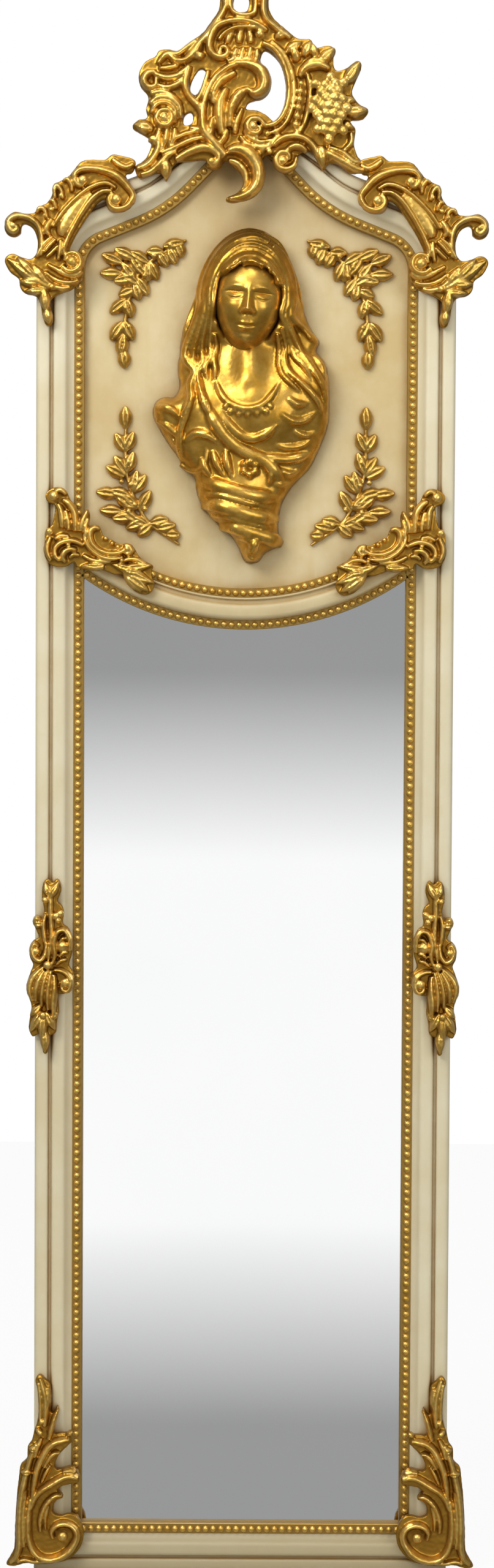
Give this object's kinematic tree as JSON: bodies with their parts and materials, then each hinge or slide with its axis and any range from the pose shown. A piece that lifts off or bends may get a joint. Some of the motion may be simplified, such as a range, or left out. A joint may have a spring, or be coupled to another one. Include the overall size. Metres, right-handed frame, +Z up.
{
  "type": "wall mirror",
  "caption": "Tall baroque wall mirror in a cream and gilt frame, with a carved crest, scrolled corners, a relief panel with a draped bust over the glass, and ring hangers behind.",
  "frame": {"origin": "middle of the frame's lower edge, on the wall plane behind it", "axes": "+X to the viewer's right, +Y into the wall, +Z up; the mirror faces -Y"},
  "size_m": [0.5454, 0.092, 1.8184],
  "materials": {
    "cream_paint": "satin paint over wood, antiqued in the grooves",
    "panel_paint": "aged cream paint",
    "bust_gilt": "gilt and patinated carving",
    "gilt": "antique gilding over carved wood",
    "mirror": "silvered, polished",
    "backing_board": "plain hardboard",
    "bare_wood": "sawn softwood",
    "steel": "zinc plated"
  },
  "bodies": {
    "frame": {"arch_batten": "bare_wood", "arch_corner_left": "gilt", "arch_corner_right": "gilt", "arch_rail": "cream_paint", "bead_arch_lower": "gilt", "bead_arch_upper": "gilt", "bead_bottom": "gilt", "bead_head": "gilt", "bead_side_left": "gilt", "bead_side_right": "gilt", "bottom_batten": "bare_wood", "bottom_rail": "cream_paint", "bust": "bust_gilt", "crest": "gilt", "foot_scroll_left": "gilt", "foot_scroll_right": "gilt", "glass_backing": "backing_board", "glass_batten_left": "bare_wood", "glass_batten_right": "bare_wood", "hanger_screws": "steel", "hanger_strap_left": "steel", "hanger_strap_right": "steel", "head_dowels": "bare_wood", "head_rail": "cream_paint", "lower_sprig_left": "gilt", "lower_sprig_right": "gilt", "mirror_glass": "mirror", "mitre_splines": "bare_wood", "panel_batten_left": "bare_wood", "panel_batten_right": "bare_wood", "relief_panel": "panel_paint", "shoulder_scroll_left": "gilt", "shoulder_scroll_right": "gilt", "side_drop_left": "gilt", "side_drop_right": "gilt", "stile_left": "cream_paint", "stile_right": "cream_paint", "upper_sprig_left": "gilt", "upper_sprig_right": "gilt"},
    "hanger_ring_left": {"hanger_ring_left": "steel"},
    "hanger_ring_right": {"hanger_ring_right": "steel"}
  },
  "joints": [
    {"name": "hanger_left_swing", "type": "hinge", "parent": "frame", "child": "hanger_ring_left", "pos_m": [-0.218, -0.004, 1.26], "axis": [1, 0, 0], "range_deg": [0, 180]},
    {"name": "hanger_right_swing", "type": "hinge", "parent": "frame", "child": "hanger_ring_right", "pos_m": [0.218, -0.004, 1.26], "axis": [1, 0, 0], "range_deg": [0, 180]}
  ]
}
